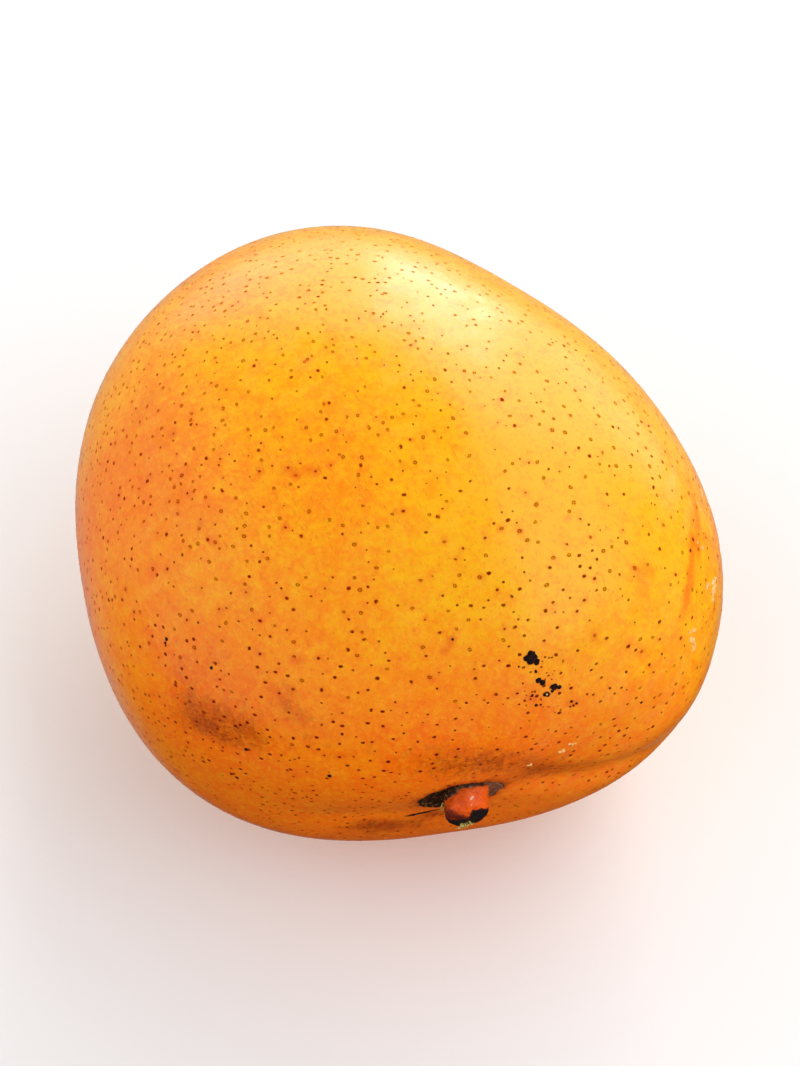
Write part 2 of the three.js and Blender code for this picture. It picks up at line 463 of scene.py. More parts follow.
def node(tree, kind, inputs=None, **settings):
    """A new node with its settings and inputs."""
    made = tree.nodes.new(kind)
    for label, value in settings.items():
        setattr(made, label, value)
    set_inputs(tree, made, inputs or {})
    return made


def math_node(tree, operation, first, second=0.0, third=0.0):
    return node(tree, "ShaderNodeMath", {0: first, 1: second, 2: third}, operation=operation).outputs[0]


def lumps(tree, place, scale, detail=3.0, roughness=0.55, distortion=0.0):
    """Noise with so many lumps a metre."""
    shape = {"Scale": scale, "Detail": detail, "Roughness": roughness, "Distortion": distortion}
    return node(tree, "ShaderNodeTexNoise", {"Vector": place, **shape}).outputs["Fac"]


def stirred(tree, value, noise_value, amount):
    """Value with noise around one half added to it."""
    centred = math_node(tree, "SUBTRACT", noise_value, 0.5)
    return math_node(tree, "MULTIPLY_ADD", centred, amount, value)


def within(tree, value, start, full, low=0.0, high=1.0):
    """Value turned smoothly from low at start to high at full."""
    inputs = {"Value": value, "From Min": start, "From Max": full, "To Min": low, "To Max": high}
    return node(tree, "ShaderNodeMapRange", inputs, interpolation_type="SMOOTHSTEP").outputs["Result"]


def blend(tree, factor, first, second):
    """One colour over another."""
    colours = [(*c, 1.0) if not isinstance(c, bpy.types.NodeSocket) else c for c in (first, second)]
    inputs = {0: factor, 6: colours[0], 7: colours[1]}
    return node(tree, "ShaderNodeMix", inputs, data_type="RGBA").outputs[2]


def shades(tree, value, stops):
    """A colour ramp through the given stops."""
    ramp = node(tree, "ShaderNodeValToRGB", {"Fac": value})
    elements = ramp.color_ramp.elements
    while len(elements) < len(stops):
        elements.new(1.0)
    for element, (position, colour) in zip(elements, stops):
        element.position = position
        element.color = (*colour, 1.0)
    return ramp.outputs["Color"]


def stored(tree, label):
    """A value stored at the mesh's points."""
    return node(tree, "ShaderNodeAttribute", attribute_name=label).outputs["Fac"]


def object_place(tree):
    return node(tree, "ShaderNodeTexCoord").outputs["Object"]


def brushed(tree, place, turn, lengthwise, crosswise):
    """Noise drawn out into fine marks that lie in the flat at a turn from +X."""
    turning = {"Vector": place, "Rotation": (0.0, 0.0, math.radians(turn))}
    turned = node(tree, "ShaderNodeMapping", turning, vector_type="TEXTURE").outputs["Vector"]
    stretching = {"Vector": turned, "Scale": (lengthwise, crosswise, crosswise)}
    stretched = node(tree, "ShaderNodeMapping", stretching).outputs["Vector"]
    return lumps(tree, stretched, 1.0, 2.0, 0.5, 0.6)


def bumped(tree, height, strength, distance):
    inputs = {"Strength": strength, "Distance": distance, "Height": height}
    return node(tree, "ShaderNodeBump", inputs).outputs["Normal"]


def new_material(name):
    """A material with nodes, its shader, and the place in the object that its patterns follow."""
    material = bpy.data.materials.new(name)
    material.use_nodes = True
    tree = material.node_tree
    return material, tree, tree.nodes["Principled BSDF"], object_place(tree)


def finish(tree, shader, base, roughness, gloss, normal=None):
    """Gives a shader its colour, how rough and how glossy it is, and its bumps."""
    inputs = {"Base Color": base, "Roughness": roughness, "Specular IOR Level": gloss}
    if normal is not None:
        inputs["Normal"] = normal
    set_inputs(tree, shader, inputs)


def skin_colour(tree, place, colours):
    """The skin's colour: yellow through orange, mottled, flecked, rusted and bronzed. Painted shade is in it
    too: deeper orange and brown low on the fruit, and brown in the fold and above the recess.
    """
    # Blush and painted shade: deeper orange low on the fruit stands in for its darker underside
    ripeness_and_shade = stirred(tree, stored(tree, "blush_and_shade"), lumps(tree, place, 75, 3), 0.32)
    ripeness_and_shade = stirred(tree, ripeness_and_shade, lumps(tree, place, 360, 6, 0.74, 0.4), 1.3)
    ripeness_and_shade = stirred(tree, ripeness_and_shade, lumps(tree, place, 1300, 4, 0.7), 1.1)
    base = shades(tree, ripeness_and_shade, [(0.0, colours.yellow), (0.5, colours.orange), (1.0, colours.deep)])
    rust = stirred(tree, stored(tree, "rust"), lumps(tree, place, 700, 5, 0.62), 0.7)
    base = blend(tree, within(tree, rust, 0.15, 0.9, 0, 0.8), base, colours.rust)
    dark_marks = within(tree, brushed(tree, place, -78, 500, 3200), 0.6, 0.74, 0, 0.45)
    base = blend(tree, dark_marks, base, colours.scratch)
    flecks = within(tree, lumps(tree, place, 1100, 3, 0.6, 1.6), 0.62, 0.72, 0, 0.4)
    base = blend(tree, flecks, base, colours.scratch)
    light_marks = within(tree, brushed(tree, place, -62, 420, 3200), 0.6, 0.76, 0, 0.45)
    base = blend(tree, light_marks, base, colours.bloom)
    clouds = within(tree, lumps(tree, place, 900, 5, 0.72, 0.5), 0.5, 0.8, 0, 0.4)
    base = blend(tree, clouds, base, colours.bloom)
    # Brown blotches and painted shade, with dark grains in both
    stain = stirred(tree, stored(tree, "bronze_and_shade"), lumps(tree, place, 520, 6, 0.76, 0.4), 1.7)
    base = blend(tree, within(tree, stain, 0.2, 1.0, 0, 0.75), base, colours.bronze_and_shade)
    grains = stirred(tree, stored(tree, "bronze_and_shade"), lumps(tree, place, 1700, 4, 0.62), 2.2)
    base = blend(tree, within(tree, grains, 0.6, 1.05, 0, 0.55), base, colours.grain)
    dark_by_recess_tone = stirred(tree, stored(tree, "dark_by_recess"), lumps(tree, place, 1100, 5, 0.65), 0.9)
    return blend(tree, within(tree, dark_by_recess_tone, 0.35, 0.7), base, colours.dark_by_recess)


def skin_relief(tree, place):
    """The fine grain of the skin, as a bump."""
    return bumped(tree, lumps(tree, place, 900, 4, 0.62), 0.3, 0.00008)


def skin_material(colours):
    """Waxy skin, mottled and finely grained."""
    material, tree, shader, place = new_material("mango_skin")
    roughness = within(tree, lumps(tree, place, 260, 5, 0.65), 0.3, 0.7, 0.13, 0.3)
    finish(tree, shader, skin_colour(tree, place, colours), roughness, 0.33, skin_relief(tree, place))
    return material


def lenticel_material(colours, spots):
    """Warm brown cork in each spot, and the skin's own colour at its edge."""
    material, tree, shader, place = new_material("mango_lenticels")
    ring = blend(tree, stored(tree, "tone"), spots.pale_ring, spots.dark_ring)
    crumbs = within(tree, lumps(tree, place, 5000, 3), 0.3, 0.6, 0.85, 1.0)
    dark = math_node(tree, "MULTIPLY", stored(tree, "dot"), crumbs)
    base = blend(tree, dark, skin_colour(tree, place, colours), ring)
    finish(tree, shader, base, 0.4, 0.02, skin_relief(tree, place))
    return material


def scab_material(settings):
    """Hard black scab, cracked brown at its edges."""
    material, tree, shader, place = new_material("black_scab")
    tone = within(tree, lumps(tree, place, 2600, 4, 0.65), 0.45, 0.75)
    base = blend(tree, tone, settings.scab, settings.scab_edge)
    finish(tree, shader, base, 0.6, 0.08, bumped(tree, lumps(tree, place, 3000, 3), 0.6, 0.0001))
    return material


def sap_material(settings):
    """Dried sap, whitish and waxy, with amber showing through where it is thin."""
    material, tree, shader, place = new_material("dried_sap")
    tone = within(tree, lumps(tree, place, 1400, 4, 0.6), 0.4, 0.7)
    base = blend(tree, tone, settings.sap, settings.sap_thin)
    finish(tree, shader, base, 0.35, 0.5, bumped(tree, lumps(tree, place, 2500, 3), 0.5, 0.00012))
    return material


def cork_material(settings):
    """Crusted cork, near black on one side and ashen brown on the other, with ochre specks."""
    material, tree, shader, place = new_material("recess_cork")
    ash = stirred(tree, stored(tree, "ash"), lumps(tree, place, 900, 4, 0.6), 0.7)
    base = blend(tree, within(tree, ash, 0.2, 0.9), settings.cork, settings.cork_ash)
    base = blend(tree, cork_specks(tree, place, 0.7), base, settings.cork_speck)
    finish(tree, shader, base, 0.5, 0.08, bumped(tree, lumps(tree, place, 1800, 4, 0.65), 1.0, 0.0005))
    return material


def cork_specks(tree, place, strength):
    return within(tree, lumps(tree, place, 2000, 4, 0.6), 0.52, 0.66, 0, strength)


def stub_material(settings):
    """Glossy orange-red flesh of the stalk, dried dark red and black at its broken tip, with painted
    highlights as pale flecks down its middle and painted shade as dark red on its underside.
    """
    material, tree, shader, place = new_material("stalk_flesh")
    streaks = stirred(tree, lumps(tree, place, 500, 3), lumps(tree, place, 1800, 3), 0.6)
    base = blend(tree, within(tree, streaks, 0.45, 0.8, 0, 0.7), settings.stub, settings.stub_deep)
    film = within(tree, lumps(tree, place, 1300, 4, 0.6), 0.62, 0.74, 0, 0.2)
    base = blend(tree, film, base, settings.stub_film)
    painted_glints = stirred(tree, stored(tree, "painted_glints"), lumps(tree, place, 1800, 4, 0.65), 2.4)
    base = blend(tree, within(tree, painted_glints, 0.85, 1.15, 0, 0.9), base, settings.stub_painted_glint)
    # Drying at the tip, and painted shade on the underside, both come in the dried values
    dried = stirred(tree, stored(tree, "dried"), lumps(tree, place, 1500, 4, 0.6), 0.5)
    base = blend(tree, within(tree, dried, 0.15, 0.5), base, settings.stub_dried_and_shade)
    base = blend(tree, within(tree, dried, 0.5, 0.75), base, settings.stub_tip)
    crust = blend(tree, cork_specks(tree, place, 0.8), settings.cork, settings.cork_speck)
    base = blend(tree, stored(tree, "crusted"), base, crust)
    roughness = within(tree, dried, 0.3, 0.8, 0.12, 0.5)
    finish(tree, shader, base, roughness, 0.4, bumped(tree, lumps(tree, place, 1500, 4, 0.65), 0.7, 0.0004))
    return material


def fibre_material(settings):
    """Dry yellow-green plant fibre."""
    material, tree, shader, place = new_material("stalk_fibre")
    tone = within(tree, lumps(tree, place, 2000, 3), 0.35, 0.65)
    finish(tree, shader, blend(tree, tone, settings.fibre, settings.fibre_dark), 0.55, 0.5)
    return material


# Sizes and colours that a user would change


def colour(name, description, default):
    return FloatVectorProperty(name=name, description=description, default=default, subtype="COLOR")


def length(name, description, millimetres):
    return FloatProperty(name=name, description=description, default=millimetres * MM, unit="LENGTH")


def bearing(name, description, degrees):
    return FloatProperty(name=name, description=description, default=math.radians(degrees), subtype="ANGLE")



class MangoSkinSettings(bpy.types.PropertyGroup):
    fineness: IntProperty(name="Fineness", description="Splits along a side of the ball", default=96, min=16)
    inset: length("Inset", "How far the skin lies inside the solid", 0.05)
    yellow: colour("Yellow", "Ripest part of the skin", (0.95, 0.45, 0.003))
    orange: colour("Orange", "Flanks of the fruit", (0.95, 0.27, 0.004))
    # Deep orange is partly painted shade: the broad patch low under the stalk end stands in for its darker
    # underside
    deep: colour("Deep orange", "Stalk end of the fruit", (0.92, 0.15, 0.003))
    rust: colour("Rust", "Red-orange tinge round spots", (0.8, 0.12, 0.003))
    # Brown of the blotches, and also painted shade in the fold, above the recess and low at the front
    bronze_and_shade: colour("Bronze", "Brown blotches", (0.42, 0.062, 0.001))
    grain: colour("Grain", "Dark grains in the blotches", (0.26, 0.02, 0.001))
    scratch: colour("Scratches", "Fine dark scratches", (0.62, 0.11, 0.003))
    bloom: colour("Bloom", "Fine pale scratches", (1.0, 0.48, 0.02))
    # Black inside the recess and just over its edge, and a dark line along the crease on its left
    dark_by_recess: colour("Soot", "Black stain in and by the recess", (0.02, 0.008, 0.004))


class MangoSpotSettings(bpy.types.PropertyGroup):
    density: FloatProperty(name="Density", description="Lenticels on 1 square millimetre", default=0.14)
    seed: IntProperty(name="Seed", description="Draw of the lenticels", default=7, min=0)
    pale_ring: colour("Pale ring", "Lenticels on the cheeks", (0.3, 0.004, 0.001))
    dark_ring: colour("Dark ring", "Lenticels at the stalk end", (0.12, 0.0005, 0.0005))


class MangoMarkSettings(bpy.types.PropertyGroup):
    scab: colour("Scab", "Black scabs", (0.008, 0.004, 0.004))
    scab_edge: colour("Scab edge", "Brown of the cracked scabs", (0.07, 0.014, 0.006))
    sap: colour("Sap", "Thick dried sap", (0.95, 0.57, 0.21))
    sap_thin: colour("Thin sap", "Thin dried sap", (0.98, 0.4, 0.05))


class MangoStalkSettings(bpy.types.PropertyGroup):
    cork: colour("Cork", "Darkest cork of the recess", (0.035, 0.01, 0.004))
    cork_ash: colour("Ashen cork", "Cork on the beak's side of the stub", (0.22, 0.09, 0.05))
    cork_speck: colour("Cork specks", "Ochre specks in the cork", (0.42, 0.17, 0.04))
    stub: colour("Stub", "Flesh of the stub", (0.88, 0.11, 0.005))
    stub_deep: colour("Deep stub", "Deeper red of the stub", (0.55, 0.04, 0.004))
    stub_film: colour("Stub film", "Pale dried film on the stub", (0.9, 0.24, 0.09))
    # Painted highlights: pale flecks down the middle of the stub's face
    stub_painted_glint: colour("Stub glints", "Pale wet flakes on the stub", (1.0, 0.7, 0.55))
    # Dark red of the drying, and also painted shade on the stub's underside
    stub_dried_and_shade: colour("Dried stub", "Dark red where the stub dries", (0.12, 0.012, 0.004))
    stub_tip: colour("Stub tip", "Black broken tip", (0.012, 0.006, 0.005))
    fibre: colour("Fibre", "Fibres at the broken tip", (0.75, 0.62, 0.16))
    fibre_dark: colour("Dark fibre", "Darker stretches of the fibres", (0.3, 0.2, 0.04))


class MangoStageSettings(bpy.types.PropertyGroup):
    azimuth: bearing("Azimuth", "Camera's turn from -Y towards +X", -12.801)
    elevation: bearing("Elevation", "Camera's height above level", 55.481)
    distance: length("Distance", "From the camera to the fruit's middle", 330)
    sideways: length("Sideways", "Camera's move to its own right", 2.618)
    upwards: length("Upwards", "Camera's move along its own upright", -1.179)
    lens: FloatProperty(name="Lens", description="Focal length", default=72.0, unit="CAMERA")
    floor: colour("Floor", "Colour of the floor", (0.9, 0.9, 0.9))


def lift(points, normals, amount):
    return points + normals * np.asarray(amount)[..., None]


def marks_at(directions, points, hazy):
    """The values that the skin's colour reads. Rust also gathers round the lenticels with a haze."""
    haze = np.zeros(len(points))
    for middle, strength in hazy:
        away = ((points - middle) ** 2).sum(axis=1)
        haze += strength * np.exp(-away / 0.7)
    return {
        "blush_and_shade": np.clip(patches(directions, BLUSH_AND_SHADE), 0, 1.1),
        "rust": np.clip(patches(directions, RUST) + haze, 0, 1),
        "bronze_and_shade": np.clip(patches(directions, BRONZE_AND_SHADE) + rim_at(points), 0, 1),
        "dark_by_recess": dark_by_recess_at(points),
    }


def round_recess(points):
    """Points at the seat, the share of the way to the recess's edge, and whether the seat is near."""
    local = in_seat(points)
    return local, way_to_edge(local), np.abs(local[:, 1]) < 2 * RECESS_DEPTH


def dark_by_recess_at(points):
    """Black inside the recess, smudged just over its edge, and in a crease on its left."""
    local, part, near = round_recess(points)
    across, down = local[:, 0], local[:, 2]
    edge = 1 - smooth_step(part, 0.92, 1.14)
    crease_fall = 0.36
    half_length, half_width = 3.4, 0.55
    off_line = down - 7.6 + crease_fall * (across + 5.0)
    crease = np.exp(-(((across + 6.0) / half_length) ** 2) - (off_line / half_width) ** 2)
    return np.where(near, np.maximum(edge, 0.95 * crease), 0)


def rim_at(points):
    """Brown that fades outwards from the recess's edge."""
    _, part, near = round_recess(points)
    return np.where(near, 0.75 * np.exp(-((np.maximum(part - 1, 0) / 0.22) ** 2)), 0)


def skin_offset(directions, points, settings):
    """How far the real skin stands off the smooth one."""
    return relief(points) + pressed_folds(directions) - settings.inset / MM


class MANGO_OT_skin(bpy.types.Operator):
    """Makes the skin of the whole fruit, with its recess and its dents"""

    bl_idname = "mango.skin"
    bl_label = "Skin"

    def execute(self, context):
        settings = context.scene.mango_skin
        directions, triangles = geodesic(settings.fineness)
        directions = crowded(directions)
        normals = skin_normals(directions)
        smooth = skin_points(directions)
        off = skin_offset(directions, smooth, settings)
        points = set_into_recess(lift(smooth, normals, off))
        points[:, 2] = np.maximum(points[:, 2], 0)
        marks = marks_at(directions, smooth, lenticels(context.scene)["hazy"])
        skin = mesh_object("skin", points, triangles, marks)
        dress(skin, skin_material(settings), "fruit")
        return {"FINISHED"}


# How many places are tried for lenticels, the cells in which near ones are sought, and how many more crowd
# round the scabs
TRIED_LENTICELS = 36000
CELL_SIZE = 2.5
LENTICELS_BY_SCABS = 34

# The two kinds of lenticel: how far out, how high and how dark each round of points is, and how many sides
RING_LENTICELS = ((0, 0.45, 0.85, 1.2), (0.016, 0.02, 0.018, 0.004), (0.25, 0.5, 1, 0), 10)
DOT_LENTICELS = ((0, 0.85, 1.2), (0.02, 0.018, 0.004), (1, 1, 0), 8)


def spot_density(directions, usual):
    """Lenticels on a square millimetre: close together at the stalk end, and further apart on top."""
    stalk_end = 0.07 * share(directions, 0, 6, "x", (48, 17))
    left_flank = 0.06 * share(directions, -80, 30, "y", (35, 30))
    far_side = 0.05 * share(directions, 180, 40, "x", (50, 35))
    return usual + stalk_end + left_flank + far_side


def scattered(density, draw):
    """Directions scattered over the fruit at a density, few of them near another."""
    count = TRIED_LENTICELS
    height = draw.uniform(-1, 1, count)
    turn = draw.uniform(0, math.tau, count)
    flat = np.sqrt(1 - height**2)
    directions = np.stack([flat * np.cos(turn), flat * np.sin(turn), height], axis=-1)
    points = skin_points(directions)
    facing = (skin_normals(directions) * directions).sum(axis=-1)
    area = reach(directions) ** 2 / facing * 4 * math.pi / count
    wanted = spot_density(directions, density)
    keep = draw.uniform(0, 1, count) < 1.3 * wanted * area
    local = in_seat(points)
    by_stub = (way_to_edge(local) < 1.12) & (local[:, 1] > -6)
    clear_of_floor = points[:, 2] > 0.25
    keep &= ~by_stub & clear_of_floor
    apart = np.where(draw.uniform(0, 1, count) < 0.12, 0.22, 0.46) / np.sqrt(wanted)
    cells, chosen = {}, []
    for n in np.flatnonzero(keep):
        x, y, z = (points[n] // CELL_SIZE).astype(int)
        around = [(x + i, y + j, z + k) for i in (-1, 0, 1) for j in (-1, 0, 1) for k in (-1, 0, 1)]
        others = [m for cell in around for m in cells.get(cell, ())]
        if others and np.linalg.norm(points[others] - points[n], axis=1).min() < apart[n]:
            continue
        cells.setdefault((x, y, z), []).append(n)
        chosen.append(n)
    return directions[chosen]


def lenticels(scene):
    """Where the lenticels are, how wide and dark each is, which are rings, and which have a rusty haze."""
    settings = scene.mango_spots
    draw = np.random.default_rng(settings.seed)
    directions = scattered(settings.density, draw)
    extra = LENTICELS_BY_SCABS
    by_scabs = towards(15.8 + draw.normal(0, 2.6, extra), 24.5 + draw.normal(0, 3.2, extra))
    count = len(directions)
    stalk_end = np.clip(share(directions, -8, 4, "x", (56, 25)) * 1.3, 0, 1)
    far_side = share(directions, 170, 25, "x", (60, 36))
    luck = draw.uniform(0, 1, count)
    radii = (0.115 + 0.19 * luck**0.9) * (1 - 0.08 * stalk_end) * (1 - 0.1 * far_side)
    tones = np.clip(0.1 + 0.95 * stalk_end - 0.1 * far_side + draw.normal(0, 0.12, count), 0, 1)
    ringed = (radii > 0.2) & (draw.uniform(0, 1, count) < 0.85 - 0.7 * stalk_end)
    warm_left = share(directions, -50, 45, "x", (60, 34))
    warm_right = 0.3 * share(directions, 30, 20, "x", (30, 20))
    warm = np.clip(warm_left + warm_right, 0, 1)
    picked = np.flatnonzero(draw.uniform(0, 1, count) < 0.1 + 0.3 * warm)
    points = skin_points(directions)
    hazy = [(points[n], draw.uniform(0.15, 0.75) * (0.3 + 0.7 * warm[n])) for n in picked]
    return {
        "directions": np.concatenate([directions, by_scabs]),
        "radii": np.concatenate([radii, draw.uniform(0.07, 0.17, extra)]),
        "tones": np.concatenate([tones, draw.uniform(0.4, 0.9, extra)]),
        "ringed": np.concatenate([ringed, np.zeros(extra, dtype=bool)]),
        "hazy": hazy,
    }


def spots_mesh(spots, chosen, steps, lifts, darks, sides):
    """Small domed discs that follow the skin and fade at their edges, with gaps in their last dark round."""
    directions, radii = spots["directions"][chosen], spots["radii"][chosen]
    draw = np.random.default_rng(3)
    count = len(directions)
    first, second = tangents(directions)
    spin = draw.uniform(0, math.tau, count)
    longer = draw.uniform(1.0, 1.25, count)
    wobble = draw.uniform(0.88, 1.12, (count, sides))
    broken = np.where(draw.uniform(0, 1, (count, sides)) < 0.18, 0.4, 1.0)
    normals = skin_normals(directions)
    middles = directions * reach(directions)[:, None]
    last_dark = len(steps) - 2
    points, dots = [], []
    for k, (step, height) in enumerate(zip(steps, lifts)):
        for j in range(sides if k else 1):
            angle = j * math.tau / sides + spin
            far = radii * step * wobble[:, j]
            lengthwise = first * (far * np.cos(angle) * longer)[:, None]
            crosswise = second * (far * np.sin(angle) / longer)[:, None]
            bent = unit(middles + (lengthwise + crosswise))
            points.append(lift(skin_points(bent), normals, np.full(count, height)))
            dots.append(darks[k] * (broken[:, j] if k == last_dark else 1) * np.ones(count))
    points = np.stack(points, axis=1)
    tones = np.repeat(spots["tones"][chosen], points.shape[1])
    values = {"dot": np.stack(dots, axis=1).reshape(-1), "tone": tones}
    return points.reshape(-1, 3), disc_faces(len(steps) - 1, sides, count), values


class MANGO_OT_lenticels(bpy.types.Operator):
    """Lays the lenticels on the skin"""

    bl_idname = "mango.lenticels"
    bl_label = "Lenticels"

    def execute(self, context):
        settings = context.scene.mango_skin
        spots = lenticels(context.scene)
        material = lenticel_material(settings, context.scene.mango_spots)
        ringed = spots["ringed"]
        kinds = (("ring_lenticels", ringed, RING_LENTICELS), ("dot_lenticels", ~ringed, DOT_LENTICELS))
        for name, kind, layout in kinds:
            points, faces, values = spots_mesh(spots, np.flatnonzero(kind), *layout)
            directions = unit(points - CORE)
            normals = skin_normals(directions)
            values.update(marks_at(directions, points, spots["hazy"]))
            raised = lift(points, normals, skin_offset(directions, points, settings))
            made = mesh_object(name, raised, faces, values)
            made.data.normals_split_custom_set_from_vertices(normals.tolist())
            dress(made, material)
        return {"FINISHED"}


def blisters(rows, settings, seed, sides=20):
    """Low lumps with ragged edges that grow out of the skin, each with its middle's direction, half sizes,
    turn, height and how hollow it is."""
    steps = np.array([0.0, 0.25, 0.5, 0.7, 0.85, 0.96, 1.04])
    shape = np.array([1.0, 1.0, 0.95, 0.85, 0.65, 0.3, -0.5])
    middle, half_long, half_wide, turn, height, hollow = (np.array(column) for column in zip(*rows))
    angle = np.arange(sides) * math.tau / sides
    grid = [(0, 0)] + [(k, j) for k in range(1, len(steps)) for j in range(sides)]
    step = steps[[k for k, _ in grid]]
    rise = shape[[k for k, _ in grid]]
    turned = angle[[j for _, j in grid]]
    apart = 9 * np.arange(len(rows))[:, None]
    circle = np.broadcast_arrays(1.6 * np.cos(turned) + apart, 1.6 * np.sin(turned), seed)
    ragged = 1 + 0.35 * wander(np.stack(circle, axis=-1).reshape(-1, 3), 1.0, 6).reshape(circle[0].shape)
    u = step * ragged * half_long[:, None] * np.cos(turned)
    v = step * ragged * half_wide[:, None] * np.sin(turned)
    c, s = np.cos(turn)[:, None], np.sin(turn)[:, None]
    first, second = tangents(middle)
    away = (u * c - v * s)[..., None] * first[:, None] + (u * s + v * c)[..., None] * second[:, None]
    directions = unit((middle * reach(middle)[:, None])[:, None] + away).reshape(-1, 3)
    smooth = skin_points(directions)
    dip = 1 - hollow[:, None] * np.exp(-((step / 0.45) ** 2))
    bump = 1 + 0.5 * wander(smooth, 0.45, 7).reshape(u.shape)
    up = height[:, None] * np.where(rise > 0, rise * bump, rise) * dip
    off = skin_offset(directions, smooth, settings) + up.reshape(-1)
    return lift(smooth, skin_normals(directions), off), disc_faces(len(steps) - 1, sides, len(rows))


def sap_flakes(draw):
    """The rows of dried sap: its flakes, and the drop in the hollow scab."""
    rows = []
    millimetres_a_degree = 0.78
    for around, above, tall, wide, count in SAP:
        for _ in range(count):
            up, side = draw.normal(0, 0.42, 2) * (tall, wide)
            direction = towards(around + side / millimetres_a_degree, above + up / millimetres_a_degree)
            size = draw.uniform(0.12, 0.34)
            longer = size * draw.uniform(1, 1.8)
            turn = draw.uniform(0, 3)
            rows.append((direction, longer, size, turn, draw.uniform(0.05, 0.16), 0))
    rows.append((towards(15.6, 22.8), 0.2, 0.18, 0, 0.1, 0))
    return rows


class MANGO_OT_marks(bpy.types.Operator):
    """Makes the black scabs and the dried sap"""

    bl_idname = "mango.marks"
    bl_label = "Scabs and sap"

    def execute(self, context):
        skin, colours = context.scene.mango_skin, context.scene.mango_marks
        draw = np.random.default_rng(11)
        rows = [(towards(a, u), r, r * 0.88, draw.uniform(0, 3), h, hollow) for a, u, r, h, hollow in SCABS]
        points, faces = blisters(rows, skin, 1)
        dress(mesh_object("scabs", points, faces), scab_material(colours))
        points, faces = blisters(sap_flakes(draw), skin, 2, 12)
        dress(mesh_object("dried_sap", points, faces), sap_material(colours))
        return {"FINISHED"}


def cork_mesh():
    """The crust between the stub and the edge of the recess, deepest on the left."""
    sides, rows = 128, 18
    angle = np.tile(np.arange(sides) * math.tau / sides, rows)
    step = np.repeat(np.linspace(0, 1, rows), sides)
    inner = STUB_RADIUS - 0.7
    radius = inner + step * (recess_edge(angle) - inner)
    x, z = radius * np.cos(angle), radius * np.sin(angle)
    deep = 0.42 + 0.45 * smooth_step(-x, 1, 4)
    height = -deep * (1 - smooth_step(step, 0.45, 1.0) * 0.8) - 0.05
    flat = np.stack([x, 0 * x, z], axis=-1)
    height = height + (0.16 * wander(flat, 1.6, 3) + 0.1 * wander(flat, 0.5, 4)) * (1 - 0.5 * step)
    tucked_under = -0.6
    height = np.where(step > 0.99, tucked_under, height)
    points = from_seat(np.stack([x, height, z], axis=-1))
    return points, ring_faces(rows, sides), {"ash": smooth_step(x, 0.5, 3.8)}


def seen_from_front(x, y, z):
    """Rightwards and downwards places of seat points for an eye above the stalk end."""
    return 0.978 * x + 0.206 * y - 0.043 * z, 0.9 * y + 0.399 * z - 0.172 * x


def stub_mesh():
    """The snapped stalk: longest underneath, shortest on its left, with a ragged domed end."""
    foot, top = -2.4, 3.85
    sides, up_side, over_end = 96, 26, 22
    rows = up_side + over_end - 1
    side = np.linspace(0, 1, up_side)
    end = np.linspace(0, math.pi / 2, over_end)[1:]
    angle = np.tile(np.arange(sides) * math.tau / sides, rows)
    climb = np.repeat(np.concatenate([side, np.ones(over_end - 1)]), sides)
    round_over = np.repeat(np.concatenate([np.zeros(up_side), end]), sides)
    rim = 2.5 + 0.45 * np.cos(angle) + 0.85 * np.sin(angle)
    part = (1 - 0.05 * climb) * np.cos(round_over)
    height = foot + climb * (rim - foot) + (top - rim) * np.sin(round_over)
    x = part * STUB_RADIUS * np.cos(angle)
    z = part * STUB_RADIUS * np.sin(angle) + 1.1 * np.sin(round_over) ** 2
    under = np.clip(z / STUB_RADIUS, 0, 1)
    x = x * (1 - 0.25 * under**2 * smooth_step(height, 0.5, 3.2))
    flat = np.stack([x, height, z], axis=-1)
    lumpy = 0.12 * wander(flat, 2.0, 5) + 0.05 * wander(flat, 0.8, 6)
    x = x + lumpy * np.cos(angle) * np.minimum(part * 2, 1)
    z = z + lumpy * np.sin(angle) * np.minimum(part * 2, 1)
    x = x + np.maximum(height, 0) * math.tan(math.radians(STUB_LEAN))
    right, low = seen_from_front(x, height, z)
    dried = low - 1.75 - 1.5 * (1 - smooth_step(right, -0.2, 1.0)) + 0.35 * wander(flat, 0.9, 9)
    height = height + smooth_step(dried, 0, 1) * (0.22 * wander(flat, 0.9, 8, 3) - 0.1)
    beyond_bend = right + 0.66
    crust_line = -1.26 - np.where(beyond_bend < 0, 0.81, 0.075) * beyond_bend
    crusted = crust_line - low + 0.25 * wander(flat, 0.9, 10)
    swollen = 0.22 * smooth_step(crusted, 0, 0.6)
    x, z = x + swollen * np.cos(angle), z + swollen * np.sin(angle)
    # Painted shade: the stub darkens to dark red towards its underside as seen from the front, stored with
    # the drying
    painted_shade_underneath = 0.5 * smooth_step(low - 0.35 * right, 1.0, 3.6)
    # Painted highlights: a band down the stub's middle as seen from the front
    glint_band = np.exp(-(((right - 0.6) / 0.5) ** 2))
    values = {
        "dried": np.maximum(smooth_step(dried, -0.45, 0.4), painted_shade_underneath),
        "crusted": smooth_step(crusted, -0.1, 0.12),
        "painted_glints": glint_band * smooth_step(low, -1.4, -0.6) * (1 - smooth_step(low, 0.8, 2.0)),
    }
    return from_seat(np.stack([x, height, z], axis=-1)), ring_faces(rows, sides), values


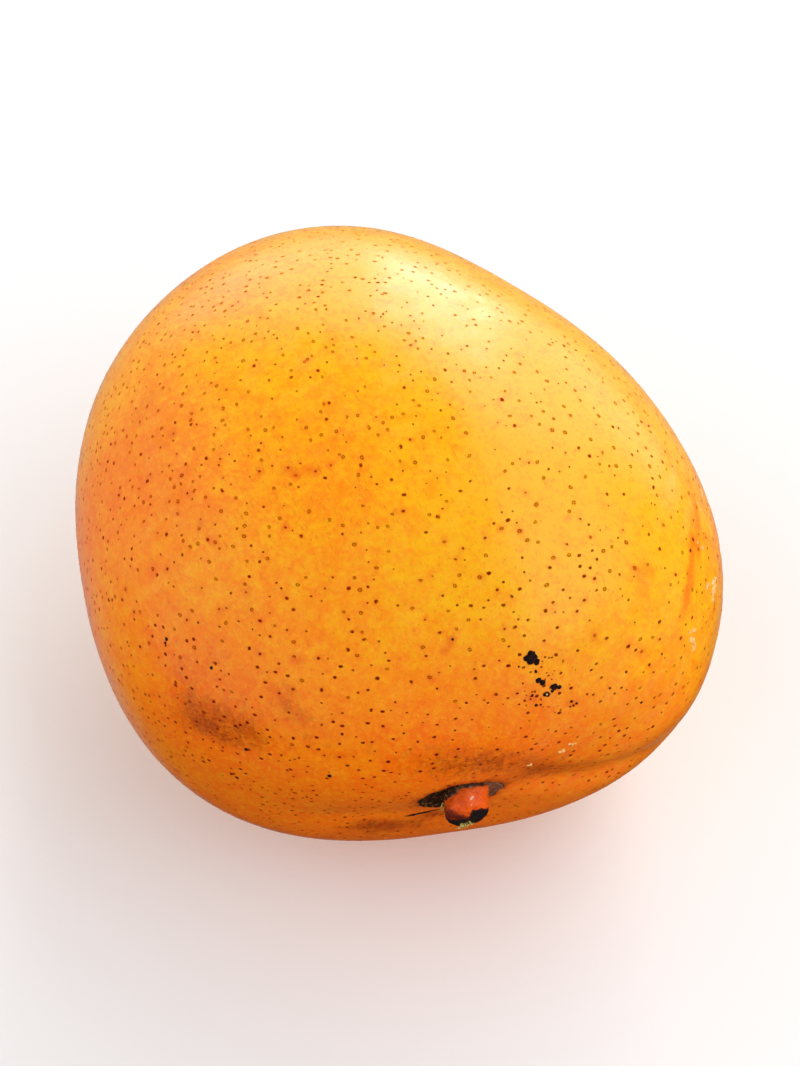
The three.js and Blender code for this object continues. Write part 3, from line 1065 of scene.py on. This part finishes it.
def strand(path, radius):
    """A thin tapered tube along points given at the seat."""
    path = [Vector(p) for p in path]
    sides, rows = 6, 10
    points = []
    for k in range(rows):
        t = k / (rows - 1) * (len(path) - 1)
        n = min(int(t), len(path) - 2)
        middle = path[n].lerp(path[n + 1], t - n)
        ahead = (path[n + 1] - path[n]).normalized()
        first = ahead.cross(Vector((0.3, 0.8, 0.5))).normalized()
        second = ahead.cross(first)
        thick = radius * (1 - 0.75 * (k / (rows - 1)) ** 2)
        for j in range(sides):
            angle = j * math.tau / sides
            points.append(middle + first * (thick * math.cos(angle)) + second * (thick * math.sin(angle)))
    return np.array(points), np.array(ring_faces(rows, sides))


def fibre_mesh():
    """Strands at the stub's broken tip, and two at its foot."""
    draw = np.random.default_rng(5)
    strands = []
    for _ in range(20):
        x, z = draw.uniform(-1.5, -0.4), draw.uniform(0.6, 1.6)
        side, down = draw.uniform(-1.2, 1.2), draw.uniform(0.1, 1.3)
        middle = (x + side * 0.4, 3.95 + draw.uniform(-0.1, 0.15), z + down * 0.5)
        end = (x + side, 3.9 + draw.uniform(-0.2, 0.1), z + down)
        strands.append(strand(((x, 3.3, z), middle, end), draw.uniform(0.07, 0.13)))
    strands.append(strand(((-3.4, 0.2, 1.0), (-3.75, 0.7, 1.5), (-3.6, 1.0, 2.4)), 0.14))
    strands.append(strand(((-3.3, 0.1, 1.6), (-3.6, 0.6, 2.1), (-3.2, 1.1, 2.6)), 0.1))
    points = np.concatenate([some for some, _ in strands])
    faces = np.concatenate([sides + n * len(some) for n, (some, sides) in enumerate(strands)])
    return from_seat(points), faces


class MANGO_OT_stalk(bpy.types.Operator):
    """Makes the cork of the recess, the stub and its fibres"""

    bl_idname = "mango.stalk"
    bl_label = "Stalk"

    def execute(self, context):
        settings = context.scene.mango_stalk
        dress(mesh_object("cork", *cork_mesh()), cork_material(settings), "cork_ring")
        dress(mesh_object("stub", *stub_mesh()), stub_material(settings), "stalk_stub")
        dress(mesh_object("fibres", *fibre_mesh()), fibre_material(settings))
        return {"FINISHED"}


class MANGO_OT_stage(bpy.types.Operator):
    """Sets the floor, the light round the fruit and the camera"""

    bl_idname = "mango.stage"
    bl_label = "Stage"

    def execute(self, context):
        settings = context.scene.mango_stage
        make_floor(settings)
        make_world(context.scene)
        make_window()
        make_fill()
        make_camera(context.scene, settings)
        context.scene.view_settings.view_transform = "Standard"
        return {"FINISHED"}


def make_floor(settings):
    """A pale floor that doesn't light the fruit or show in it. The low fill lights stand for its bounce."""
    half, below = 2.5, -0.00005
    corners = [(-half, -half, below), (half, -half, below), (half, half, below), (-half, half, below)]
    mesh = bpy.data.meshes.new("floor")
    mesh.from_pydata(corners, [], [(0, 1, 2, 3)])
    floor = placed("floor", mesh)
    floor.visible_diffuse = False
    floor.visible_glossy = False
    floor.visible_shadow = False
    material, tree, shader, place = new_material("pale_floor")
    tone = within(tree, lumps(tree, place, 30, 4), 0.2, 0.8, 0.0, 0.04)
    darker = tuple(0.94 * c for c in settings.floor)
    finish(tree, shader, blend(tree, tone, settings.floor, darker), 0.7, 0.2)
    mesh.materials.append(material)


def make_world(scene):
    """Soft light: bright high on the right and low at the back, less on the left, and dark overhead.
    The camera sees it white."""
    world = bpy.data.worlds.new("soft_room")
    world.use_nodes = True
    scene.world = world
    tree = world.node_tree
    direction = node(tree, "ShaderNodeTexCoord").outputs["Generated"]
    split = node(tree, "ShaderNodeSeparateXYZ", {0: direction}).outputs
    x, y, z = split["X"], split["Y"], split["Z"]
    leftwards = math_node(tree, "MULTIPLY", x, -1.0)
    right = within(tree, x, 0.24, 0.33)
    above_floor = within(tree, z, -0.35, 0.1)
    to_back = {0: direction, 1: (0.423, 0.906, 0.0)}
    backwards = node(tree, "ShaderNodeVectorMath", to_back, operation="DOT_PRODUCT").outputs["Value"]
    back = math_node(tree, "MULTIPLY", within(tree, backwards, 0.55, 0.85, 0, 2.1), above_floor)
    not_overhead = math_node(tree, "MAXIMUM", within(tree, z, 0.64, 0.54), right)
    total = within(tree, z, -0.35, 0.1, 0.02, 0.21)
    glows = (
        (within(tree, y, 0.15, 0.6), within(tree, z, 0.0, -0.25, 0, 0.33)),
        (right, within(tree, z, 0.3, 0.75, 0, 1.55)),
        (back, not_overhead),
        (within(tree, leftwards, 0.25, 0.6, 0, 0.32), above_floor),
    )
    for strength, part in glows:
        total = math_node(tree, "MULTIPLY_ADD", strength, part, total)
    seen = node(tree, "ShaderNodeLightPath").outputs["Is Camera Ray"]
    plain = node(tree, "ShaderNodeMix", {0: seen, 2: total, 3: 1.0}).outputs[0]
    set_inputs(tree, tree.nodes["Background"], {"Strength": plain, "Color": (1.0, 1.0, 1.0, 1.0)})


def make_light(name, kind, around, above, strength):
    """A light that shines on the fruit from a direction."""
    data = bpy.data.lights.new(name, kind)
    data.energy = strength
    light = placed(name, data)
    direction = Vector(towards(around, above))
    light.rotation_euler = direction.to_track_quat("Z", "Y").to_euler()
    return light, direction


def make_window():
    """The window low behind the fruit, whose reflection is the long highlight."""
    window, direction = make_light("window", "AREA", 156, 14, 1.37)
    window.data.shape = "RECTANGLE"
    window.data.size = 0.22
    window.data.size_y = 0.48
    window.location = Vector(CORE * MM) + 0.9 * direction


def make_fill():
    """Even light from the sides, from low in front and from above, kept out of the skin's gloss."""
    fills = (
        # name, around, above, spread, strength
        ("fill_left", -100, 5, 90, 1.2),
        ("fill_back_left", -130, 10, 90, 0.38),
        ("fill_low_left", -75, -25, 80, 0.4),
        ("fill_right", 50, 0, 90, 1.25),
        ("fill_low_right", 60, -35, 80, 1.15),
        ("fill_top", 0, 50, 90, 0.62),
    )
    for name, around, above, spread, strength in fills:
        fill, _ = make_light(name, "SUN", around, above, strength)
        fill.data.angle = math.radians(spread)
        fill.visible_glossy = False


def make_camera(scene, settings):
    """The camera of the photo: its turn and height, its distance, and its moves sideways and upwards."""
    back = Vector(towards(math.degrees(settings.azimuth), math.degrees(settings.elevation)))
    right = (-back).cross(Vector((0, 0, 1))).normalized()
    up = right.cross(-back)
    data = bpy.data.cameras.new("camera")
    data.sensor_fit = "VERTICAL"
    data.sensor_height = 36.0
    data.lens = settings.lens
    data.clip_start = 0.01
    camera = placed("camera", data)
    place = Vector(CORE * MM) + back * settings.distance + right * settings.sideways + up * settings.upwards
    camera.matrix_world = Matrix.Translation(place) @ Matrix((right, up, back)).transposed().to_4x4()
    scene.camera = camera


class MANGO_PT_panel(bpy.types.Panel):
    """Lists the operators"""

    bl_label = "Mango"
    bl_idname = "MANGO_PT_panel"
    bl_space_type = "VIEW_3D"
    bl_region_type = "UI"
    bl_category = "Mango"

    def draw(self, context):
        for operator in OPERATORS:
            self.layout.operator(operator.bl_idname)


SETTINGS = {
    "mango_skin": MangoSkinSettings,
    "mango_spots": MangoSpotSettings,
    "mango_marks": MangoMarkSettings,
    "mango_stalk": MangoStalkSettings,
    "mango_stage": MangoStageSettings,
}
OPERATORS = (MANGO_OT_skin, MANGO_OT_lenticels, MANGO_OT_marks, MANGO_OT_stalk, MANGO_OT_stage)


def register():
    for group in (*SETTINGS.values(), *OPERATORS, MANGO_PT_panel):
        bpy.utils.register_class(group)
    for label, group in SETTINGS.items():
        setattr(bpy.types.Scene, label, PointerProperty(type=group))


def unregister():
    for label in SETTINGS:
        delattr(bpy.types.Scene, label)
    for group in reversed((*SETTINGS.values(), *OPERATORS, MANGO_PT_panel)):
        bpy.utils.unregister_class(group)


def main():
    register()
    bpy.ops.mango.skin()
    bpy.ops.mango.lenticels()
    bpy.ops.mango.marks()
    bpy.ops.mango.stalk()
    bpy.ops.mango.stage()


if __name__ == "__main__":
    main()
